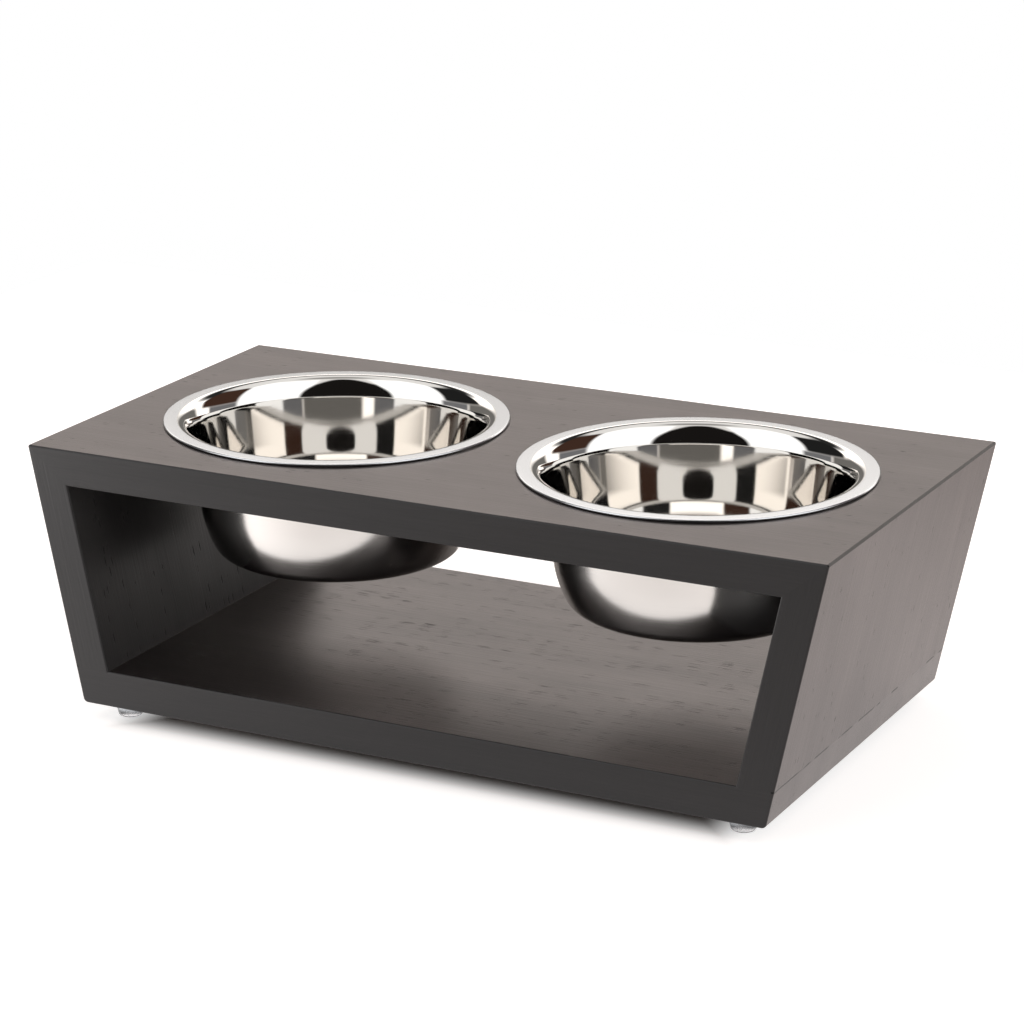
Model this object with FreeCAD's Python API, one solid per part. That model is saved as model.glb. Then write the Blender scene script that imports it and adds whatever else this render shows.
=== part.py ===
# Raised feeding stand for two pet bowls: an open-fronted wooden frame of four boards with leaning
# sides, two drawn steel bowls that drop into holes in the top board, and four clear stick-on feet.
# Millimetres. X runs along the stand, -Y is the front, +Z is up.
# The origin is on the floor, under the middle of the stand.
import FreeCAD
import Part
import math
import os
from FreeCAD import Vector

# Bowls: one sheet of drawn steel with a flat flange and a rounded lip
bowl_rim_diameter = 142.6
bowl_depth = 57.0  # top of the flange to the underside of the base
sheet_thickness = 0.7
flange_width = 5.7  # outer edge of the lip to the start of the throat
lip_diameter = 1.0  # rounded bead that the bowl hangs by
throat_top_radius = 4.2  # inside surface, next to the flange
throat_turn = 50.0  # degrees that the throat turns before it opens out
throat_low_radius = 13.3  # inside surface, next to the wall
wall_taper = 6.65  # degrees from upright
corner_top_radius = 54.0  # outside surface, next to the wall
corner_turn = 19.0  # degrees that the corner turns before it tightens
corner_low_radius = 8.0  # outside surface, next to the base

# Layout of the bowls in the top board, which sets the stand's length and depth
rim_gap = 19.4  # between the two rims
end_margin = 20.2  # rim to the left or right end of the top
edge_margin = 18.7  # rim to the front or back edge of the top
rim_bearing = 6.5  # how far the rim reaches over the board around its hole
seat_clearance = 0.2  # lip to the board

# Wooden frame
frame_height = 106.0  # underside of the bottom board to the top face
side_lean = 12.0  # degrees that each side board leans outwards
board_thickness = 15.0
arris_radius = 0.8
lower_end_radius = 2.2  # the two lower edges that run from front to back

# Hidden dowels, three in each of the four joints
dowel_diameter = 6.0
dowel_cover = 3.0  # least wood between a dowel hole and a face
dowel_end_inset = 30.0  # front or back face to the nearest dowel
dowel_clearance = 0.1  # glue film around a dowel
dowel_end_gap = 0.5  # glue room past each end of a dowel
dowel_chamfer = 0.6

# Feet: tapered clear bumpers, each with its own adhesive disc
foot_height = 6.8
foot_top_diameter = 13.0
foot_bottom_diameter = 9.5
foot_edge_radius = 1.0
foot_end_inset = 14.0  # end of the underside to the foot's axis
foot_front_inset = 13.0  # front or back face to the foot's axis
adhesive_thickness = 0.2
adhesive_inset = 0.5  # rim of the foot to the rim of its disc

# Sizes that follow
rim_radius = bowl_rim_diameter / 2
hole_radius = rim_radius - rim_bearing
bowl_offset = (bowl_rim_diameter + rim_gap) / 2
frame_length = 2 * bowl_rim_diameter + rim_gap + 2 * end_margin
frame_depth = bowl_rim_diameter + 2 * edge_margin
underside = foot_height + adhesive_thickness
top_face = underside + frame_height
shelf_face = underside + board_thickness
ceiling_face = top_face - board_thickness
lean = math.radians(side_lean)
mitre_angle = (math.pi / 2 - lean) / 2  # between a face and the mitre plane at a top corner
left, right = -1, 1
clear_of_frame = frame_length  # reach of the cutting shapes, past every face


def outer_half(height):
    """Half the stand's length at a height, over the outer faces of the side boards."""
    return frame_length / 2 - (top_face - height) * math.tan(lean)


def inner_half(height):
    """Half the opening's length at a height."""
    return outer_half(height) - board_thickness / math.cos(lean)


def front_prism(outline):
    """A closed outline of (x, z) points, drawn out from the front face to the back face."""
    points = [Vector(x, -frame_depth / 2, z) for x, z in outline]
    face = Part.Face(Part.makePolygon(points + points[:1]))
    return face.extrude(Vector(0, frame_depth, 0))


def mirrored_outline(right_points):
    """An outline that is the same on the left, from its right half, listed from bottom to top."""
    return right_points + [(-x, z) for x, z in reversed(right_points)]


def rounded_frame():
    """All four boards as one ring, with its arrises rounded, the two lower ends more than the rest."""
    outside = front_prism(mirrored_outline([
        (outer_half(underside), underside),
        (outer_half(top_face), top_face),
    ]))
    opening = front_prism(mirrored_outline([
        (inner_half(shelf_face), shelf_face),
        (inner_half(ceiling_face), ceiling_face),
    ]))
    ring = outside.cut(opening)
    lower_ends = []
    for edge in ring.Edges:
        size = edge.BoundBox
        if size.ZMax < underside + arris_radius and size.XLength < arris_radius:
            lower_ends.append(edge)
    ring = ring.makeFillet(lower_end_radius, lower_ends)
    arrises = []
    for edge in ring.Edges:
        middle = edge.CenterOfMass
        on_end_face = abs(abs(middle.y) - frame_depth / 2) < arris_radius
        on_top = middle.z > ceiling_face + arris_radius
        if on_end_face or on_top:
            arrises.append(edge)
    return ring.makeFillet(arris_radius, arrises)


def above_mitres():
    """The space that the top board takes up: everything above the two mitre planes."""
    reach = board_thickness
    step_x = reach * math.cos(mitre_angle)
    step_z = reach * math.sin(mitre_angle)
    inner_x = inner_half(ceiling_face) - step_x
    inner_z = ceiling_face - step_z
    outer_x = outer_half(top_face) + step_x
    outer_z = top_face + step_z
    return front_prism(mirrored_outline([(inner_x, inner_z), (outer_x, outer_z)]))


def below_shelf():
    """The space that the bottom board takes up: everything under the shelf's face."""
    width = 2 * clear_of_frame
    corner = Vector(-clear_of_frame, -clear_of_frame, shelf_face - width)
    return Part.makeBox(width, width, width, corner)


def side_space(side):
    """The half of the world to the left or the right of the middle."""
    width = 2 * clear_of_frame
    corner = Vector(0 if side == right else -width, -clear_of_frame, -clear_of_frame)
    return Part.makeBox(width, width, width, corner)


def with_bowl_holes(board):
    """The top board with a hole for each bowl, its edges eased like the other arrises."""
    for side in (left, right):
        centre = Vector(side * bowl_offset, 0, ceiling_face - board_thickness)
        board = board.cut(Part.makeCylinder(hole_radius, 3 * board_thickness, centre))
    rims = []
    for edge in board.Edges:
        size = edge.BoundBox
        right_length = abs(size.XLength - 2 * hole_radius) < arris_radius
        right_width = abs(size.YLength - 2 * hole_radius) < arris_radius
        if right_length and right_width and size.ZLength < arris_radius:
            rims.append(edge)
    return board.makeFillet(arris_radius, rims)


def mitre_dowel_half():
    """How far a dowel reaches into each board at a mitre, with its cover kept to the outer face."""
    mitre_length = board_thickness / math.sin(mitre_angle)
    far_side = dowel_cover + dowel_diameter + 2 * dowel_clearance
    wood_ahead = (mitre_length - far_side) * math.tan(mitre_angle)
    return wood_ahead - dowel_cover / math.cos(mitre_angle) - dowel_end_gap


def dowel_axes():
    """Name, middle point and direction of every dowel, joint by joint."""
    along_mitre = dowel_cover + dowel_clearance + dowel_diameter / 2
    mitre_x = inner_half(ceiling_face) + along_mitre * math.cos(mitre_angle)
    mitre_z = ceiling_face + along_mitre * math.sin(mitre_angle)
    foot_x = (inner_half(shelf_face) + outer_half(shelf_face)) / 2
    outer_y = frame_depth / 2 - dowel_end_inset
    axes = []
    for side, side_name in ((left, "left"), (right, "right")):
        for y, place in ((-outer_y, "front"), (0, "middle"), (outer_y, "back")):
            top_middle = Vector(side * mitre_x, y, mitre_z)
            top_way = Vector(-side * math.sin(mitre_angle), 0, math.cos(mitre_angle))
            axes.append(("top_" + side_name + "_" + place + "_dowel", top_middle, top_way))
            bottom_middle = Vector(side * foot_x, y, shelf_face)
            bottom_way = Vector(side * math.sin(lean), 0, math.cos(lean))
            axes.append(("bottom_" + side_name + "_" + place + "_dowel", bottom_middle, bottom_way))
    return axes


def rod(middle, way, radius, half):
    """A cylinder centred on a point."""
    return Part.makeCylinder(radius, 2 * half, middle - way * half, way)


def dowel(middle, way):
    """A dowel with chamfered ends."""
    peg = rod(middle, way, dowel_diameter / 2, mitre_dowel_half())
    rims = [edge for edge in peg.Edges if isinstance(edge.Curve, Part.Circle)]
    return peg.makeChamfer(dowel_chamfer, rims)


def dowel_holes():
    """Every dowel's blind hole in both of its boards, as one cutting shape."""
    radius = dowel_diameter / 2 + dowel_clearance
    half = mitre_dowel_half() + dowel_end_gap
    return Part.makeCompound([rod(middle, way, radius, half) for name, middle, way in dowel_axes()])


def boards():
    """The four boards by name: mitred at the top corners, butted on the bottom board."""
    ring = rounded_frame()
    holes = dowel_holes()
    upright = ring.cut(above_mitres()).cut(below_shelf())
    pieces = {
        "top_board": with_bowl_holes(ring.common(above_mitres())),
        "bottom_board": ring.common(below_shelf()),
        "left_side_board": upright.common(side_space(left)),
        "right_side_board": upright.common(side_space(right)),
    }
    return {name: piece.cut(holes) for name, piece in pieces.items()}


def direction(angle):
    """A unit vector in the XZ plane, at an angle in degrees from +X towards +Z."""
    return Vector(math.cos(math.radians(angle)), 0, math.sin(math.radians(angle)))


def bowl_rounds():
    """The round stretches of the bowl's section as centre, radius and the angles they run between.

    They go out along the inside surface, around the lip and back along the outside.
    The flange's top is at height 0 and the bowl's axis is the Z axis."""
    up, down = 90.0, -90.0
    throat_break = up + throat_turn
    wall_in = 180.0 - wall_taper  # out of the wall, into the bowl
    wall_out = -wall_taper
    corner_break = wall_out - corner_turn

    throat_top = Vector(rim_radius - flange_width, 0, -throat_top_radius)
    throat_low = throat_top + direction(throat_break) * (throat_top_radius - throat_low_radius)

    out = direction(wall_out)
    wall_level = out.dot(throat_low) - (throat_low_radius - sheet_thickness)
    corner_step = direction(corner_break) * (corner_low_radius - corner_top_radius)
    corner_on_axis = Vector(0, 0, corner_low_radius - bowl_depth)
    corner_reach = wall_level - corner_top_radius - out.dot(corner_on_axis + corner_step)
    corner_low = corner_on_axis + Vector(corner_reach / out.x, 0, 0)
    corner_top = corner_low + corner_step

    lip_radius = lip_diameter / 2
    lip = Vector(rim_radius - lip_radius, 0, -lip_radius)
    lip_end = math.degrees(math.asin((lip_radius - sheet_thickness) / lip_radius))  # under the flange

    return [
        (corner_low, corner_low_radius - sheet_thickness, down, corner_break),
        (corner_top, corner_top_radius - sheet_thickness, corner_break, wall_out),
        (throat_low, throat_low_radius, wall_in, throat_break),
        (throat_top, throat_top_radius, throat_break, up),
        (lip, lip_radius, up, -180.0 - lip_end),
        (throat_top, throat_top_radius - sheet_thickness, up, throat_break),
        (throat_low, throat_low_radius - sheet_thickness, throat_break, wall_in),
        (corner_top, corner_top_radius, wall_out, corner_break),
        (corner_low, corner_low_radius, corner_break, down),
    ]


def bowl_section():
    """Half the bowl's section: its round stretches, joined by straight lines where they lie apart."""
    floor_middle = Vector(0, 0, sheet_thickness - bowl_depth)
    base_middle = Vector(0, 0, -bowl_depth)
    place = floor_middle
    edges = []
    for centre, radius, start, end in bowl_rounds():
        angles = (start, (start + end) / 2, end)
        first, middle, last = [centre + direction(angle) * radius for angle in angles]
        if first.distanceToPoint(place) > sheet_thickness / 100:
            edges.append(Part.makeLine(place, first))
        edges.append(Part.Arc(first, middle, last).toShape())
        place = last
    edges.append(Part.makeLine(place, base_middle))
    edges.append(Part.makeLine(base_middle, floor_middle))
    return Part.Face(Part.Wire(edges))


def bowl(side):
    """A bowl hanging in its hole by its lip."""
    shell = bowl_section().revolve(Vector(0, 0, 0), Vector(0, 0, 1), 360)
    shell.translate(Vector(side * bowl_offset, 0, top_face + seat_clearance + lip_diameter))
    return shell


def foot(centre):
    """A tapered bumper, wide end up, with its lower edge rounded."""
    cone = Part.makeCone(foot_bottom_diameter / 2, foot_top_diameter / 2, foot_height, centre)
    rim = [edge for edge in cone.Edges if edge.BoundBox.ZMax < foot_edge_radius]
    return cone.makeFillet(foot_edge_radius, rim)


def feet():
    """The four feet and their adhesive discs by name."""
    x = outer_half(underside) - foot_end_inset
    y = frame_depth / 2 - foot_front_inset
    disc_radius = foot_top_diameter / 2 - adhesive_inset
    pieces = {}
    for side, side_name in ((left, "left"), (right, "right")):
        for end, end_name in ((-1, "front"), (1, "back")):
            name = end_name + "_" + side_name + "_foot"
            centre = Vector(side * x, end * y, 0)
            disc_base = centre + Vector(0, 0, foot_height)
            pieces[name] = foot(centre)
            pieces[name + "_adhesive"] = Part.makeCylinder(disc_radius, adhesive_thickness, disc_base)
    return pieces


def stand():
    """Every piece of the stand by name."""
    pieces = boards()
    pieces["left_bowl"] = bowl(left)
    pieces["right_bowl"] = bowl(right)
    for name, middle, way in dowel_axes():
        pieces[name] = dowel(middle, way)
    pieces.update(feet())
    return pieces


os.makedirs("parts", exist_ok=True)
for node, shape in stand().items():
    shape.exportStep("parts/" + node + ".step")
    size = shape.optimalBoundingBox()
    print(node, "%.1f x %.1f x %.1f mm" % (size.XLength, size.YLength, size.ZLength))
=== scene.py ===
# %% [markdown]
# A raised stand for two pet bowls: four black-stained boards, two drawn steel bowls and four clear feet.
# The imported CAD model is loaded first, as a frame that is already at its real size and place.
# Everything below is either a better finish for a CAD piece or a finer mesh that stands in for one.

# %% Load the frame
import math
import bmesh
import bpy
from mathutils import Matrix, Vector


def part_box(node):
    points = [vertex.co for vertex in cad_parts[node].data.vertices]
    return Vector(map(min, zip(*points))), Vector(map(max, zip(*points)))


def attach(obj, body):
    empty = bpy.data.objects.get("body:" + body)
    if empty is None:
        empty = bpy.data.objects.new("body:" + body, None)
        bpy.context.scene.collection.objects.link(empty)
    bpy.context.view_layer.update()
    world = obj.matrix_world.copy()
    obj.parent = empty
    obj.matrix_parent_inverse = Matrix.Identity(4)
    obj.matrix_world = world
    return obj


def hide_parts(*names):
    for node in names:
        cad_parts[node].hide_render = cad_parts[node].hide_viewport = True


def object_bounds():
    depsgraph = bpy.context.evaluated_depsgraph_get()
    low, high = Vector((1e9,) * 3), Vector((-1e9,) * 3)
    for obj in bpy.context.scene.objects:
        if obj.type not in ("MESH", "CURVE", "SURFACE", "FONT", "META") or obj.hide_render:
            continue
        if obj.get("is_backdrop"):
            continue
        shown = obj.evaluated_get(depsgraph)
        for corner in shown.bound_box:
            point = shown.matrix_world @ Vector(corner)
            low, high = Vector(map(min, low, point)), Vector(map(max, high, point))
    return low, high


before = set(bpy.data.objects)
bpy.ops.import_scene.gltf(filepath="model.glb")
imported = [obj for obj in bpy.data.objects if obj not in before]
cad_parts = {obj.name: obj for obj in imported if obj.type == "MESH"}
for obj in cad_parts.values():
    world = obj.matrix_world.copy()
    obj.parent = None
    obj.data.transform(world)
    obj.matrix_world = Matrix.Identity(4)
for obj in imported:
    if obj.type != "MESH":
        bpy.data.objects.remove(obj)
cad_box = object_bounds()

mm = 0.001

# %% [markdown]
# Two small helpers serve every material. Colours are written as sRGB hex values, as a paint chart gives
# them, and turned to the linear values that Blender mixes light with. Node trees are built by one function
# that adds a node, sets its options and fills its sockets with numbers or with links from other nodes.

# %% Colours and nodes


def hex_colour(code):
    """An sRGB hex colour as linear RGBA."""
    channels = [int(code[i:i + 2], 16) / 255 for i in (1, 3, 5)]
    linear = [c / 12.92 if c <= 0.04045 else ((c + 0.055) / 1.055) ** 2.4 for c in channels]
    return (*linear, 1.0)


def node(tree, kind, inputs=None, **settings):
    """Adds a node. An input is a number, a vector or the output socket of another node."""
    made = tree.nodes.new(kind)
    for name, value in settings.items():
        setattr(made, name, value)
    for socket, value in (inputs or {}).items():
        if isinstance(value, bpy.types.NodeSocket):
            tree.links.new(value, made.inputs[socket])
        else:
            made.inputs[socket].default_value = value
    return made


def new_material(name):
    """An empty material with its tree, its Principled shader and its Object coordinates."""
    material = bpy.data.materials.new(name)
    material.use_nodes = True
    tree = material.node_tree
    shader = tree.nodes["Principled BSDF"]
    place = node(tree, "ShaderNodeTexCoord").outputs["Object"]
    return material, tree, shader, place


print("white in linear light:", hex_colour("#ffffff")[:3])

# %% [markdown]
# The boards look like an open-pored hardwood, stained black to brown-black and sealed with a satin lacquer.
# The stain eats most of the light, so what the eye sees is the lacquer's grey sheen, broken by fine fibre
# lines and by short dark pores. An image could carry this, but a solid pattern in Object coordinates runs
# through the board as real grain does. Each board turns the pattern so that its X axis is the grain.

# %% Sizes of the boards and colours of the stain
lean = math.radians(12)
top_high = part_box("top_board")[1]
shelf_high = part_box("bottom_board")[1]
shelf_face = shelf_high.z
outer_foot = 153.2 * mm  # half the length where the sides stand on the bottom board
mitre_edge = (172.5 * mm, 0, top_high.z)  # the sharp edge where a side meets the top

stain_dark = hex_colour("#151314")
stain_light = hex_colour("#242122")
pore_black = hex_colour("#0a0909")
print("top face at %.1f mm, shelf at %.1f mm" % (top_high.z / mm, shelf_face / mm))

# %% Grain and pores


def per(length_mm):
    """How many repeats fit in a metre, for a pattern of this size."""
    return 1000 / length_mm


def stretched(tree, grain, along, across):
    """Coordinates that count one for so many mm with the grain and for so many mm across it."""
    return node(tree, "ShaderNodeMapping", {
        "Vector": grain, "Scale": (per(along), per(across), per(across)),
    }).outputs["Vector"]


def stretched_noise(tree, grain, along, across, detail):
    """Noise whose blots are so many mm long with the grain and so many mm wide across it."""
    return node(tree, "ShaderNodeTexNoise", {
        "Vector": stretched(tree, grain, along, across), "Scale": 1.0, "Detail": detail, "Roughness": 0.55,
    }).outputs["Fac"]


def pores(tree, grain, along, across, share):
    """1 in short open pores: stretched cells, of which a lottery keeps few, mostly in clusters."""
    cell = node(tree, "ShaderNodeTexVoronoi", {"Vector": stretched(tree, grain, along, across), "Scale": 1.0})
    core = node(tree, "ShaderNodeMapRange", {
        "Value": cell.outputs["Distance"], "From Min": 0.3, "From Max": 0.15,
    }).outputs["Result"]
    ticket = node(tree, "ShaderNodeSeparateColor", {"Color": cell.outputs["Color"]}).outputs["Red"]
    odds = node(tree, "ShaderNodeMapRange", {
        "Value": stretched_noise(tree, grain, 60, 9, 2), "From Min": 0.45, "From Max": 0.75, "To Max": share,
    }).outputs["Result"]
    drawn = node(tree, "ShaderNodeMath", {0: ticket, 1: odds}, operation="LESS_THAN").outputs[0]
    return node(tree, "ShaderNodeMath", {0: core, 1: drawn}, operation="MULTIPLY").outputs[0]


print("a pattern of 9 mm repeats %.0f times in a metre" % per(9))

# %% [markdown]
# Where two boards meet there is a thin dark line: clean along the mitres at the top, and broken along the
# lower joints. The stand is alike left and right and front and back, so one set of lines, drawn for |x|,
# |y| and |z|, serves all four corners. Two masks then tell the faces apart. In the picture the top, the
# outer sides and the shelf shine as a warm grey, and the front edges look darker and matt. One lacquer under
# this studio did not give both looks, so the masks add a second coat to the shining faces. That is a choice
# made to fit the picture: how many coats the real stand has isn't known.

# %% Joint lines and show faces


def joint_lines(tree, place):
    """1 in the dark lines where boards meet: along the top arrises, and broken along the lower joints."""
    corner = node(tree, "ShaderNodeVectorMath", {0: place}, operation="ABSOLUTE").outputs["Vector"]
    flat = node(tree, "ShaderNodeVectorMath", {0: corner, 1: (1, 0, 1)}, operation="MULTIPLY")
    reach = node(tree, "ShaderNodeVectorMath", {
        0: flat.outputs["Vector"], 1: mitre_edge,
    }, operation="DISTANCE")
    mitre = node(tree, "ShaderNodeMapRange", {
        "Value": reach.outputs["Value"], "From Min": 1.0 * mm, "From Max": 0.75 * mm,
    }).outputs["Result"]
    axes = node(tree, "ShaderNodeSeparateXYZ", {"Vector": corner}).outputs
    level = node(tree, "ShaderNodeMath", {0: axes["Z"], 1: shelf_face}, operation="SUBTRACT").outputs[0]
    off_level = node(tree, "ShaderNodeMath", {0: level}, operation="ABSOLUTE").outputs[0]
    hairline = node(tree, "ShaderNodeMapRange", {
        "Value": off_level, "From Min": 0.5 * mm, "From Max": 0.25 * mm,
    }).outputs["Result"]
    outside = node(tree, "ShaderNodeMath", {0: axes["X"], 1: outer_foot - 1.2 * mm}, operation="GREATER_THAN")
    broken = node(tree, "ShaderNodeTexNoise", {"Vector": place, "Scale": per(14), "Detail": 4.0})
    kept = node(tree, "ShaderNodeMapRange", {
        "Value": broken.outputs["Fac"], "From Min": 0.46, "From Max": 0.54,
    }).outputs["Result"]
    for part in (outside.outputs[0], kept):
        hairline = node(tree, "ShaderNodeMath", {0: hairline, 1: part}, operation="MULTIPLY").outputs[0]
    return node(tree, "ShaderNodeMath", {0: mitre, 1: hairline}, operation="MAXIMUM").outputs[0]


def show_faces(tree, place):
    """Two masks: the show faces (top, outer sides and shelf), and all that is no front or back edge."""
    corner = node(tree, "ShaderNodeVectorMath", {0: place}, operation="ABSOLUTE").outputs["Vector"]
    axes = node(tree, "ShaderNodeSeparateXYZ", {"Vector": corner}).outputs
    run = node(tree, "ShaderNodeVectorMath", {0: corner, 1: (1, 0, -math.tan(lean))}, operation="DOT_PRODUCT")
    outer = node(tree, "ShaderNodeMath", {
        0: run.outputs["Value"], 1: mitre_edge[0] - mitre_edge[2] * math.tan(lean) - 0.5 * mm,
    }, operation="GREATER_THAN").outputs[0]
    top = node(tree, "ShaderNodeMath", {
        0: axes["Z"], 1: top_high.z - 0.5 * mm,
    }, operation="GREATER_THAN").outputs[0]
    shelf = node(tree, "ShaderNodeMath", {
        0: axes["Z"], 1: shelf_face, 2: 0.1 * mm,
    }, operation="COMPARE").outputs[0]
    inward = node(tree, "ShaderNodeMath", {
        0: axes["Y"], 1: top_high.y - 0.5 * mm,
    }, operation="LESS_THAN").outputs[0]
    shown = node(tree, "ShaderNodeMath", {0: outer, 1: top}, operation="MAXIMUM").outputs[0]
    shown = node(tree, "ShaderNodeMath", {0: shown, 1: shelf}, operation="MAXIMUM").outputs[0]
    return node(tree, "ShaderNodeMath", {0: shown, 1: inward}, operation="MULTIPLY").outputs[0], inward


print("lines along the mitres at x = +-%.1f mm and the joints at z = %.1f mm" % (
    mitre_edge[0] / mm, shelf_face / mm))

# %% [markdown]
# The finish is put together from those patterns. Slow bands and fine fibres mix two stains, a cloud of sheen
# varies the satin lacquer, and pores and joint lines are black, matt and a little sunk. Away from the front
# and back edges the stain is drawn darker, as painted shade. The second coat is the shader's own coat layer,
# switched on by the mask of show faces. Real fibres are finer than a pixel here, so they are drawn 0.7 mm
# wide.
# Each board has its own grain direction, pores and gloss.

# %% Black-stained hardwood


def stained_wood(name, grain_turn, shift, pore_share, pore_size, coat_rough):
    """Stained and lacquered wood whose grain runs along X after turning about Y.

    To the eye it is a near-black that turns to a soft grey sheen towards the light.
    """
    material, tree, shader, place = new_material(name)
    grain = node(tree, "ShaderNodeMapping", {
        "Vector": place, "Location": (shift, shift, 0), "Rotation": (0, grain_turn, 0),
    }).outputs["Vector"]
    band = stretched_noise(tree, grain, 220, 9, 3)
    fibre = stretched_noise(tree, grain, 30, 0.7, 3)
    cloud = stretched_noise(tree, grain, 60, 14, 3)
    shown, inward = show_faces(tree, place)
    pore = pores(tree, grain, *pore_size, pore_share)
    pore = node(tree, "ShaderNodeMath", {0: pore, 1: inward}, operation="MULTIPLY").outputs[0]
    gap = joint_lines(tree, place)
    dark = node(tree, "ShaderNodeMath", {0: pore, 1: gap}, operation="MAXIMUM").outputs[0]

    tone = node(tree, "ShaderNodeMix", {"Factor": 0.5, "A": band, "B": fibre}).outputs[0]
    # darker on every face but the front and back edges: painted shade, fitted to the shade on the shelf
    painted_shade_scale = node(tree, "ShaderNodeMath", {0: inward, 1: -0.7, 2: 1.0}, operation="MULTIPLY_ADD").outputs[0]
    stain_mix_and_shade = node(tree, "ShaderNodeMapRange", {
        "Value": tone, "From Min": 0.3, "From Max": 0.7, "To Max": painted_shade_scale,
    }).outputs["Result"]
    stain_and_shade = node(tree, "ShaderNodeMix", {
        "Factor": stain_mix_and_shade, 6: stain_dark, 7: stain_light,
    }, data_type="RGBA").outputs[2]
    colour = node(tree, "ShaderNodeMix", {
        "Factor": dark, 6: stain_and_shade, 7: pore_black,
    }, data_type="RGBA").outputs[2]

    sheen = node(tree, "ShaderNodeMix", {"Factor": 0.35, "A": cloud, "B": fibre}).outputs[0]
    satin = node(tree, "ShaderNodeMapRange", {
        "Value": sheen, "From Min": 0.3, "From Max": 0.7, "To Min": 0.36, "To Max": 0.48,
    }).outputs["Result"]
    rough = node(tree, "ShaderNodeMix", {"Factor": dark, "A": satin, "B": 0.85}).outputs[0]
    height = node(tree, "ShaderNodeMath", {0: dark, 1: -3.0, 2: fibre}, operation="MULTIPLY_ADD").outputs[0]
    bump = node(tree, "ShaderNodeBump", {"Strength": 0.8, "Distance": 0.09 * mm, "Height": height})
    tree.links.new(colour, shader.inputs["Base Color"])
    tree.links.new(rough, shader.inputs["Roughness"])
    tree.links.new(bump.outputs["Normal"], shader.inputs["Normal"])
    shader.inputs["IOR"].default_value = 1.5
    tree.links.new(bump.outputs["Normal"], shader.inputs["Coat Normal"])
    tree.links.new(shown, shader.inputs["Coat Weight"])
    shader.inputs["Coat Tint"].default_value = hex_colour("#fff1ee")
    shader.inputs["Coat Roughness"].default_value = coat_rough
    return material


# grain direction, share of pores, a pore's length and width in mm, roughness of the second coat
board_grain = {
    "top_board": (0.0, 0.2, (6, 0.8), 0.4),
    "bottom_board": (0.0, 0.65, (11, 0.45), 0.36),
    "left_side_board": (math.pi / 2 + lean, 0.8, (9, 1.1), 0.4),
    "right_side_board": (math.pi / 2 - lean, 0.15, (5, 0.8), 0.4),
}
for count, (board, (turn, pore_share, pore_size, coat_rough)) in enumerate(board_grain.items()):
    finish = stained_wood("stained_" + board, turn, 0.37 * count, pore_share, pore_size, coat_rough)
    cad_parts[board].material_slots[0].material = finish
    print("finished", board)

# %% [markdown]
# The dowels are out of sight in the joints and are taken to be beech, so a little plain grain is enough.
# The feet's adhesive discs don't show either, and are taken to be a thin acrylic film, almost clear.

# %% Beech dowels and acrylic film
beech_pale = hex_colour("#d9b98c")
beech_dark = hex_colour("#b98d5d")


def beech():
    """Pale brown wood with short streaks along the dowel."""
    material, tree, shader, place = new_material("beech_dowel")
    streaks = node(tree, "ShaderNodeMapping", {"Vector": place, "Scale": (per(0.8), per(0.8), per(9))})
    grain = node(tree, "ShaderNodeTexNoise", {"Vector": streaks.outputs["Vector"], "Scale": 1.0})
    colour = node(tree, "ShaderNodeMix", {
        "Factor": grain.outputs["Fac"], 6: beech_pale, 7: beech_dark,
    }, data_type="RGBA")
    tree.links.new(colour.outputs[2], shader.inputs["Base Color"])
    shader.inputs["Roughness"].default_value = 0.6
    return material


def acrylic_film():
    """A clear film, a little cloudy, as pressed glue is."""
    material, tree, shader, place = new_material("acrylic_film")
    haze = node(tree, "ShaderNodeTexNoise", {"Vector": place, "Scale": per(1.5)})
    rough = node(tree, "ShaderNodeMapRange", {"Value": haze.outputs["Fac"], "To Min": 0.15, "To Max": 0.45})
    tree.links.new(rough.outputs["Result"], shader.inputs["Roughness"])
    shader.inputs["Base Color"].default_value = hex_colour("#f2f2ef")
    shader.inputs["Transmission Weight"].default_value = 1.0
    shader.inputs["IOR"].default_value = 1.47
    return material


hidden_finish = {"_dowel": beech(), "_adhesive": acrylic_film()}
for name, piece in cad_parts.items():
    for ending, finish in hidden_finish.items():
        if name.endswith(ending):
            piece.material_slots[0].material = finish
            print("finished", name)

# %% [markdown]
# A bowl is one disc of stainless steel, pressed to depth, trimmed and rolled at the lip. Inside it is
# polished like a mirror, the flange is satin, and the outside keeps the fine rings of the brushing wheel.
# Each finish catches light in its own way, so the three zones have three materials. The rings are finer
# than a pixel in life and are drawn coarser here; on the outside they also stretch each highlight across
# themselves, which the shader's anisotropy does better than any bump.

# %% Stainless steel, three finishes


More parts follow.
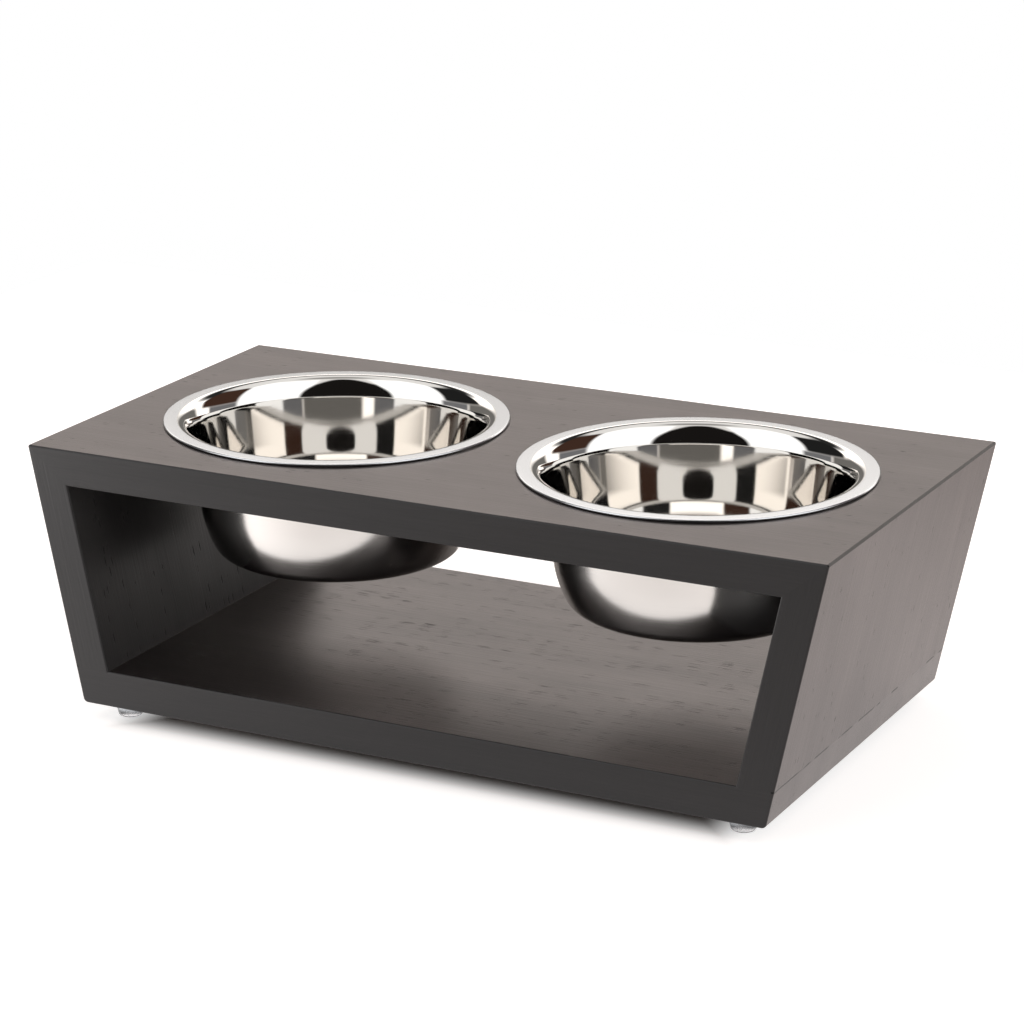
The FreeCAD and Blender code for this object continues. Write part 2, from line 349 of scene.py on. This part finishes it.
def stainless(name, colour, low, high, ring_mm, ring_depth_mm, anisotropy):
    """Stainless steel with roughness from low to high in fine rings about the bowl's axis."""
    material, tree, shader, place = new_material(name)
    along = node(tree, "ShaderNodeAttribute", {}, attribute_name="along").outputs["Fac"]
    rings = node(tree, "ShaderNodeTexNoise", {"W": along, "Scale": per(ring_mm), "Detail": 2.0},
                 noise_dimensions="1D").outputs["Fac"]
    cloud = node(tree, "ShaderNodeTexNoise", {"Vector": place, "Scale": per(18), "Detail": 3.0})
    wear = node(tree, "ShaderNodeMath", {0: rings, 1: cloud.outputs["Fac"]}, operation="MULTIPLY").outputs[0]
    rough = node(tree, "ShaderNodeMapRange", {
        "Value": wear, "From Min": 0.1, "From Max": 0.5, "To Min": low, "To Max": high,
    }).outputs["Result"]
    bump = node(tree, "ShaderNodeBump", {"Strength": 0.5, "Distance": ring_depth_mm * mm, "Height": rings})
    around = node(tree, "ShaderNodeTangent", direction_type="RADIAL", axis="Z").outputs["Tangent"]
    tree.links.new(rough, shader.inputs["Roughness"])
    tree.links.new(bump.outputs["Normal"], shader.inputs["Normal"])
    tree.links.new(around, shader.inputs["Tangent"])
    shader.inputs["Base Color"].default_value = hex_colour(colour)
    shader.inputs["Metallic"].default_value = 1.0
    shader.inputs["Anisotropic"].default_value = anisotropy
    shader.inputs["Anisotropic Rotation"].default_value = 0.25
    return material


mirror_steel = stainless("mirror_polished_steel", "#e6e4e1", 0.03, 0.06, 1.2, 0.0003, 0.0)
satin_steel = stainless("satin_flange_steel", "#d6d8db", 0.16, 0.26, 0.5, 0.001, 0.0)
brushed_steel = stainless("brushed_steel", "#e7e4e1", 0.14, 0.22, 0.5, 0.0008, 0.6)
for finish in (mirror_steel, satin_steel, brushed_steel):
    print("made", finish.name)

# %% [markdown]
# A drawn bowl is a section turned about an axis, which is a rule, so Geometry Nodes make it. The section
# is worked out here from a few sizes: floor, corner arc, leaning wall, throat arc, flange and rolled lip,
# then back down the outside, one sheet thickness away. The tree sweeps it round a circle, and stores how
# far along the section each point lies, so that the three steels start and stop in the right place.

# %% The bowl's section
bowl_low, bowl_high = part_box("right_bowl")
rim_radius = (bowl_high.x - bowl_low.x) / 2
rim_top = bowl_high.z
base = bowl_low.z
sheet = 0.7 * mm
flange_width = 5.7 * mm
lip_radius = 0.5 * mm
throat_top_radius, throat_low_radius = 4.2 * mm, 13.3 * mm
throat_turn = 50
taper = 6.65
corner_top_radius, corner_low_radius = 54 * mm, 8 * mm
corner_turn = 19


def direction(angle):
    """A unit vector in the section, at an angle in degrees."""
    return Vector((math.cos(math.radians(angle)), math.sin(math.radians(angle))))


def section_points(start, rounds):
    """A point, then round stretches (centre, radius, from angle, to angle), with close points in between."""
    points = [start]
    for centre, radius, first, last in rounds:
        steps = max(6, round(abs(last - first) / 3))
        arc = [centre + radius * direction(first + (last - first) * i / steps) for i in range(steps + 1)]
        straight = arc[0] - points[-1]
        steps = math.ceil(straight.length / (1.5 * mm))
        points += [points[-1] + straight * i / steps for i in range(1, steps)]
        points += arc if straight.length > 0.01 * mm else arc[1:]
    return points


def bowl_section():
    """The section as (radius, height) points: the inside, the flange with its lip, and the outside."""
    throat_break, wall_in = 90 + throat_turn, 180 - taper
    wall_out, corner_break = -taper, -taper - corner_turn
    throat_top = Vector((rim_radius - flange_width, rim_top - throat_top_radius))
    throat_low = throat_top + direction(throat_break) * (throat_top_radius - throat_low_radius)
    out = direction(wall_out)
    wall_level = out.dot(throat_low) - (throat_low_radius - sheet)
    corner_step = direction(corner_break) * (corner_low_radius - corner_top_radius)
    corner_on_axis = Vector((0, base + corner_low_radius))
    reach = (wall_level - corner_top_radius - out.dot(corner_on_axis + corner_step)) / out.x
    corner_low = corner_on_axis + Vector((reach, 0))
    corner_top = corner_low + corner_step
    lip = Vector((rim_radius - lip_radius, rim_top - lip_radius))
    tuck = math.degrees(math.asin((lip_radius - sheet) / lip_radius))

    inside = section_points(Vector((0, base + sheet)), [
        (corner_low, corner_low_radius - sheet, -90, corner_break),
        (corner_top, corner_top_radius - sheet, corner_break, wall_out),
        (throat_low, throat_low_radius, wall_in, throat_break),
        (throat_top, throat_top_radius, throat_break, 90),
    ])
    flange = section_points(inside[-1], [(lip, lip_radius, 90, -180 - tuck)])[1:]
    outside = section_points(flange[-1], [
        (throat_top, throat_top_radius - sheet, 90, throat_break),
        (throat_low, throat_low_radius - sheet, throat_break, wall_in),
        (corner_top, corner_top_radius, wall_out, corner_break),
        (corner_low, corner_low_radius, corner_break, -90),
    ])[1:]
    return inside, flange, outside + [Vector((0, base))]


inside, flange, outside = bowl_section()
section = inside + flange + outside
lengths = [0.0]
for before, after in zip(section, section[1:]):
    lengths.append(lengths[-1] + (after - before).length)
flange_start = lengths[len(inside) - 1]
outside_start = lengths[len(inside) + len(flange) - 1]
print("bowl section: %d points, %.1f mm long" % (len(section), lengths[-1] / mm))

# %% [markdown]
# On the real bowl a press gives the round form. In Blender a Screw modifier could turn the section too, but
# a node tree also carries the distance along the section, which places the finishes. The tree's result is
# made a plain mesh at the end, with its faces turned outwards. The same turning makes the feet.

# %% Turning a section about an axis


def turned_piece(name, section, centre, steps, finishes):
    """A section of (radius, height) points turned about an upright axis.

    finishes lists (material, start) pairs: each finish covers the section from its start, in metres along it.
    """
    path_radius = max(point.x for point in section)
    outline = bpy.data.meshes.new(name + "_section")
    points = [(point.x - path_radius, -point.y, 0) for point in section]
    outline.from_pydata(points, [(i, i + 1) for i in range(len(points) - 1)], [])
    piece = bpy.data.objects.new(name + "_blank", outline)
    bpy.context.scene.collection.objects.link(piece)

    tree = bpy.data.node_groups.new("turn_" + name, "GeometryNodeTree")
    sockets = {}
    for label, kind in (("Section", "NodeSocketGeometry"), ("Steps", "NodeSocketInt"),
                        ("Path Radius", "NodeSocketFloat"), ("Centre", "NodeSocketVector")):
        sockets[label] = tree.interface.new_socket(label, in_out="INPUT", socket_type=kind)
    tree.interface.new_socket("Turned", in_out="OUTPUT", socket_type="NodeSocketGeometry")
    given = node(tree, "NodeGroupInput").outputs

    profile = node(tree, "GeometryNodeMeshToCurve", {"Mesh": given["Section"]})
    along = node(tree, "GeometryNodeSplineParameter")
    marked = node(tree, "GeometryNodeStoreNamedAttribute", {
        "Geometry": profile.outputs["Curve"], "Name": "along", "Value": along.outputs["Length"],
    }, data_type="FLOAT", domain="POINT")
    path = node(tree, "GeometryNodeCurvePrimitiveCircle", {
        "Resolution": given["Steps"], "Radius": given["Path Radius"],
    })
    swept = node(tree, "GeometryNodeCurveToMesh", {
        "Curve": path.outputs["Curve"], "Profile Curve": marked.outputs["Geometry"],
    })
    closed = node(tree, "GeometryNodeMergeByDistance", {"Geometry": swept.outputs["Mesh"], "Distance": 1e-6})
    smooth = node(tree, "GeometryNodeSetShadeSmooth", {"Geometry": closed.outputs["Geometry"]})
    placed = node(tree, "GeometryNodeTransform", {
        "Geometry": smooth.outputs["Geometry"], "Translation": given["Centre"],
    })
    shape = node(tree, "GeometryNodeRealizeInstances", {"Geometry": placed.outputs["Geometry"]})
    shape = shape.outputs["Geometry"]
    for finish, start in finishes:
        where = node(tree, "GeometryNodeInputNamedAttribute", {"Name": "along"}, data_type="FLOAT")
        zone = node(tree, "FunctionNodeCompare", {0: where.outputs[0], 1: start}, operation="GREATER_EQUAL")
        shape = node(tree, "GeometryNodeSetMaterial", {
            "Geometry": shape, "Selection": zone.outputs["Result"], "Material": finish,
        }).outputs["Geometry"]
    node(tree, "NodeGroupOutput", {"Turned": shape})

    turning = piece.modifiers.new("turning", "NODES")
    turning.node_group = tree
    turning[sockets["Steps"].identifier] = steps
    turning[sockets["Path Radius"].identifier] = path_radius
    turning[sockets["Centre"].identifier] = centre
    evaluated = piece.evaluated_get(bpy.context.evaluated_depsgraph_get())
    mesh = bpy.data.meshes.new_from_object(evaluated)
    bpy.data.objects.remove(piece)
    shape = bmesh.new()
    shape.from_mesh(mesh)
    bmesh.ops.recalc_face_normals(shape, faces=shape.faces)
    shape.to_mesh(mesh)
    shape.free()
    turned = bpy.data.objects.new(name, mesh)
    bpy.context.scene.collection.objects.link(turned)
    print(name, "has", len(mesh.polygons), "faces and", len(mesh.materials), "finishes")
    return turned


# %% The two bowls
for side in ("left", "right"):
    low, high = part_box(side + "_bowl")
    bowl = turned_piece(side + "_drawn_bowl", section, ((low.x + high.x) / 2, 0, 0), 256, [
        (mirror_steel, 0.0), (satin_steel, flange_start), (brushed_steel, outside_start),
    ])
    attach(bowl, side + "_bowl")
    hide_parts(side + "_bowl")

# %% [markdown]
# The feet are taken to be stick-on bumpers of clear polyurethane: a tapered disc with a soft lower edge.
# They are turned like the bowls. Clear plastic is all refraction and small highlights, so the mesh has to be
# closed.

# %% Clear feet


def clear_polyurethane():
    """Clear plastic, greyed and cloudy, that shows the dark board and the white paper through itself."""
    material, tree, shader, place = new_material("clear_polyurethane")
    haze = node(tree, "ShaderNodeTexNoise", {"Vector": place, "Scale": per(2.5), "Detail": 3.0})
    rough = node(tree, "ShaderNodeMapRange", {"Value": haze.outputs["Fac"], "To Min": 0.12, "To Max": 0.4})
    bump = node(tree, "ShaderNodeBump", {
        "Strength": 0.4, "Distance": 0.1 * mm, "Height": haze.outputs["Fac"],
    })
    tree.links.new(rough.outputs["Result"], shader.inputs["Roughness"])
    tree.links.new(bump.outputs["Normal"], shader.inputs["Normal"])
    shader.inputs["Base Color"].default_value = hex_colour("#95979a")
    shader.inputs["Transmission Weight"].default_value = 1.0
    shader.inputs["IOR"].default_value = 1.49
    return material


# %% The four feet
polyurethane = clear_polyurethane()
foot_edge = 1.0 * mm
foot_bottom_radius = 4.75 * mm
for name in ("front_left_foot", "front_right_foot", "back_left_foot", "back_right_foot"):
    low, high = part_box(name)
    top_radius = (high.x - low.x) / 2
    slope = math.degrees(math.atan2(top_radius - foot_bottom_radius, high.z - low.z))
    inset = foot_edge * math.tan(math.radians(90 - slope) / 2)
    edge_middle = Vector((foot_bottom_radius - inset, foot_edge))
    outline = section_points(Vector((0, 0)), [(edge_middle, foot_edge, -90, -slope)])
    outline += [Vector((top_radius, high.z)), Vector((0, high.z))]
    foot = turned_piece("clear_" + name, outline, ((low.x + high.x) / 2, (low.y + high.y) / 2, low.z), 64,
                        [(polyurethane, 0.0)])
    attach(foot, "stand")
    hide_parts(name)

# %% [markdown]
# The stand is shown on white paper. Under studio light such paper is so bright that it reads as plain white,
# except where the stand shades it. Here it is lit and shaded as usual, and it also glows for the camera, for
# clear plastic and in part for reflections. The glow fades out under the stand, so the shadow stays. The
# patch without glow, under the stand and just past its front and back edges, also adds painted shade of its
# own.
# Stronger lamps would do it too, but they would bleach the stand as well. A painted pool of light at the
# front left, which only reflections see, is fitted so that the front edges are lighter towards the left.

# %% White paper
floor_half = 0.6
corners = ((-1, -1), (1, -1), (1, 1), (-1, 1))
floor_mesh = bpy.data.meshes.new("floor")
floor_mesh.from_pydata([(x * floor_half, y * floor_half, 0) for x, y in corners], [], [(0, 1, 2, 3)])
floor = bpy.data.objects.new("floor", floor_mesh)
bpy.context.scene.collection.objects.link(floor)
floor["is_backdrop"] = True
# the glow is left out over this patch, which puts painted shade under the stand and just past its edges
shaded_half = (outer_foot - 20 * mm, shelf_high.y, 0)  # half of the patch that the stand shades
pool_middle = (-0.28, -0.17, 0)


def seen_directly(tree, mirrored):
    """1 for rays from the camera and through clear plastic, and the mirrored share for reflections."""
    light_path = node(tree, "ShaderNodeLightPath").outputs
    direct = node(tree, "ShaderNodeMath", {
        0: light_path["Is Camera Ray"], 1: light_path["Is Transmission Ray"],
    }, operation="MAXIMUM").outputs[0]
    return node(tree, "ShaderNodeMath", {
        0: light_path["Is Glossy Ray"], 1: mirrored, 2: direct,
    }, operation="MULTIPLY_ADD").outputs[0]


def paper_glow(tree, place):
    """How much the paper glows: nothing under the stand, most of white beside it, and white further out."""
    corner = node(tree, "ShaderNodeVectorMath", {0: place}, operation="ABSOLUTE").outputs["Vector"]
    beyond = node(tree, "ShaderNodeVectorMath", {0: corner, 1: shaded_half}, operation="SUBTRACT")
    axes = node(tree, "ShaderNodeSeparateXYZ", {"Vector": beyond.outputs["Vector"]}).outputs
    away = node(tree, "ShaderNodeMath", {0: axes["X"], 1: axes["Y"]}, operation="MAXIMUM").outputs[0]
    # no glow under the stand, fading in just past its front and back edges: painted shade added to the
    # rendered shadow
    near = node(tree, "ShaderNodeMapRange", {
        "Value": away, "From Min": -16 * mm, "From Max": 8 * mm, "To Max": 0.78,
    }, interpolation_type="SMOOTHSTEP").outputs["Result"]
    far = node(tree, "ShaderNodeMapRange", {
        "Value": away, "From Min": 0.1, "From Max": 0.7, "To Max": 0.4,
    }, interpolation_type="SMOOTHSTEP").outputs["Result"]
    mirrored = node(tree, "ShaderNodeMapRange", {
        "Value": away, "From Min": 0.02, "From Max": 0.3, "To Min": 0.9, "To Max": 0.3,
    }).outputs["Result"]
    # a painted pool of light at the front left, seen only in reflections
    off_pool = node(tree, "ShaderNodeVectorMath", {0: place, 1: pool_middle}, operation="DISTANCE")
    pool = node(tree, "ShaderNodeMapRange", {
        "Value": off_pool.outputs["Value"], "From Min": 0.27, "From Max": 0.04, "To Max": 0.45,
    }, interpolation_type="SMOOTHSTEP").outputs["Result"]
    share = node(tree, "ShaderNodeMath", {0: mirrored, 1: pool}, operation="ADD").outputs[0]
    level = node(tree, "ShaderNodeMath", {0: near, 1: far}, operation="ADD").outputs[0]
    return node(tree, "ShaderNodeMath", {
        0: seen_directly(tree, share), 1: level,
    }, operation="MULTIPLY").outputs[0]


def white_paper():
    """Matt paper with a faint fleck, bright enough to lose its edge in the white surround."""
    material, tree, shader, place = new_material("white_paper")
    fleck = node(tree, "ShaderNodeTexNoise", {"Vector": place, "Scale": per(3)})
    bump = node(tree, "ShaderNodeBump", {
        "Strength": 0.05, "Distance": 0.1 * mm, "Height": fleck.outputs["Fac"],
    })
    tree.links.new(bump.outputs["Normal"], shader.inputs["Normal"])
    tree.links.new(paper_glow(tree, place), shader.inputs["Emission Strength"])
    shader.inputs["Base Color"].default_value = hex_colour("#c8beb9")
    shader.inputs["Emission Color"].default_value = hex_colour("#ffffff")
    shader.inputs["Roughness"].default_value = 0.9
    shader.inputs["Specular IOR Level"].default_value = 0.1
    return material


floor_mesh.materials.append(white_paper())
print("paper floor: %.1f m square" % (2 * floor_half))

# %% [markdown]
# Steel has little colour of its own: it shows the room. So the surround is painted as the studio that the
# bowls mirror: two tall softboxes, a white sweep at the back whose foot is in shade, darker gaps between
# them, and the dark side of the room behind the camera. A patch is placed by angles, sideways from the
# camera and up from the horizon, so the first cell works out those two angles for every direction. The
# patches were fitted by trial to the reflections and shades in the picture. They are no plan of the real
# room, and the sweep is brighter than white, because the lacquer's sheen needed it.

# %% Angles in the studio
world = bpy.data.worlds.new("studio")
world.use_nodes = True
studio = world.node_tree
camera_turn = math.radians(26.86)
way = node(studio, "ShaderNodeTexCoord").outputs["Generated"]
way = node(studio, "ShaderNodeVectorRotate", {"Vector": way, "Angle": -camera_turn}, rotation_type="Z_AXIS")
axes = node(studio, "ShaderNodeSeparateXYZ", {"Vector": way.outputs["Vector"]}).outputs
ahead = node(studio, "ShaderNodeMath", {0: axes["Y"], 1: -1.0}, operation="MULTIPLY").outputs[0]
azimuth = node(studio, "ShaderNodeMath", {0: axes["X"], 1: ahead}, operation="ARCTAN2").outputs[0]
elevation = node(studio, "ShaderNodeMath", {0: axes["Z"]}, operation="ARCSINE").outputs[0]
print("the studio is turned by %.1f degrees" % math.degrees(camera_turn))

# %% Softboxes, sweep and gaps


def painted(under, patch):
    """A soft-edged patch over the light under it: four angles, the edge's width, a colour, its brightness."""
    left, right, low, high, edge, colour, light = patch
    cover = None
    for angle, start, end in ((azimuth, left, right), (elevation, low, high)):
        for limit, way_in in ((start, edge), (end, -edge)):
            side = node(studio, "ShaderNodeMapRange", {
                "Value": angle,
                "From Min": math.radians(limit - way_in), "From Max": math.radians(limit + way_in),
            }, interpolation_type="SMOOTHSTEP").outputs["Result"]
            if cover is None:
                cover = side
            else:
                cover = node(studio, "ShaderNodeMath", {0: cover, 1: side}, operation="MULTIPLY").outputs[0]
    glow = [channel * light for channel in hex_colour(colour)]
    return node(studio, "ShaderNodeMix", {"Factor": cover, 6: under, 7: glow}, data_type="RGBA").outputs[2]


patches = (
    (-200, 200, 77, 100, 5, "#8d8b89", 1.4),  # ceiling
    (-200, 200, 33, 47, 4, "#242424", 1.4),  # open room at the back
    (-98, -35, -95, 67, 3, "#ffffff", 1.4),  # left softbox
    (23, 92, -95, 67, 3, "#ffffff", 1.4),  # right softbox
    (-123, -90, -95, 15, 3, "#666668", 1.4),  # flanks of the room
    (90, 124, -95, 15, 3, "#666668", 1.4),
    (124, 200, -95, 30, 3, "#e1dcd7", 2.65),  # white sweep at the back
    (-200, -123, -95, 30, 3, "#e1dcd7", 2.65),
    (142, 200, -95, 16.5, 4, "#64625f", 1.4),  # its foot, in shade
    (-200, -123, -95, 16.5, 4, "#64625f", 1.4),
    (-140, -94, 15, 47, 3, "#1c1c1c", 1.4),  # doorways beside the sweep
    (90, 134, 15, 47, 3, "#3a2820", 1.4),
)
picture = [1.4 * channel for channel in hex_colour("#d6d4d2")]
for patch in patches:
    picture = painted(picture, patch)
print("the studio has", len(patches), "painted patches")

# %% [markdown]
# The dark side of the room shows in the bowls as a rounded shape, so it is an ellipse in the two angles: the
# squares of the angles, each measured in half-widths, add up to less than one inside it. Last, the camera
# and clear plastic get plain white in place of the painted studio, as the backdrop of the picture. Mirror
# rays keep the studio: with white all round, the steel would lose its dark bands.

# %% Dark side of the room and white backdrop
dark_middle, dark_half_width, dark_height = math.radians(-5), math.radians(38), math.radians(68)
across = node(studio, "ShaderNodeMapRange", {
    "Value": azimuth, "From Min": dark_middle, "From Max": dark_middle + dark_half_width, "To Max": 1.0,
}, clamp=False).outputs["Result"]
upward = node(studio, "ShaderNodeMath", {0: elevation, 1: dark_height}, operation="DIVIDE").outputs[0]
squares = [node(studio, "ShaderNodeMath", {0: part, 1: 2.0}, operation="POWER").outputs[0]
           for part in (across, upward)]
ellipse = node(studio, "ShaderNodeMath", {0: squares[0], 1: squares[1]}, operation="ADD").outputs[0]
cover = node(studio, "ShaderNodeMapRange", {
    "Value": ellipse, "From Min": 1.12, "From Max": 0.88,
}, interpolation_type="SMOOTHSTEP").outputs["Result"]
picture = node(studio, "ShaderNodeMix", {
    "Factor": cover, 6: picture, 7: hex_colour("#1a1817"),
}, data_type="RGBA").outputs[2]
light_path = node(studio, "ShaderNodeLightPath").outputs
backdrop = node(studio, "ShaderNodeMath", {
    0: light_path["Is Camera Ray"], 1: light_path["Is Transmission Ray"],
}, operation="MAXIMUM").outputs[0]
colour = node(studio, "ShaderNodeMix", {
    "Factor": backdrop, 6: picture, 7: hex_colour("#ffffff"),
}, data_type="RGBA").outputs[2]
studio.links.new(colour, studio.nodes["Background"].inputs["Color"])
bpy.context.scene.world = world
print("surround:", world.name, "with", len(studio.nodes), "nodes")

# %% [markdown]
# The painted studio lights the stand softly from all round. One small lamp, low on the left, adds the slow
# fall-off from left to right that the front edges of the boards show.

# %% Low lamp
key = bpy.data.objects.new("low_key_lamp", bpy.data.lights.new("low_key_lamp", "AREA"))
key.data.shape = "RECTANGLE"
key.data.size, key.data.size_y = 0.2, 0.1
key.data.energy = 1.0
key.location = (-0.55, -0.3, 0.04)
key.rotation_euler = (math.radians(90), 0, math.radians(-67))
bpy.context.scene.collection.objects.link(key)
key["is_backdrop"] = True
print("lamp:", key.data.energy, "W")

# %% [markdown]
# The camera stands where the photographer's did: to the right of the front and a little above the top. A long
# lens from over a metre away keeps the boards' edges nearly parallel.

# %% Camera
lens_mm = 122.64
look_down = math.radians(17.23)
camera = bpy.data.objects.new("camera", bpy.data.cameras.new("camera"))
camera.data.sensor_width = 36
camera.data.lens = lens_mm
camera.location = (0.6073, -1.1999, 0.5011)
camera.rotation_euler = (math.radians(90) - look_down, 0, camera_turn)
bpy.context.scene.collection.objects.link(camera)
bpy.context.scene.camera = camera
bpy.context.scene.view_settings.view_transform = "Standard"
print("camera: %.1f mm lens, %.2f m away" % (lens_mm, camera.location.length))

# %% [markdown]
# Last, the size of the box around the finished model is printed beside the CAD model's own.

# %% Sizes
visual_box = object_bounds()
for label, (low, high) in (("CAD", cad_box), ("visual", visual_box)):
    print(label, "size in mm:", [round((b - a) / mm, 2) for a, b in zip(low, high)])
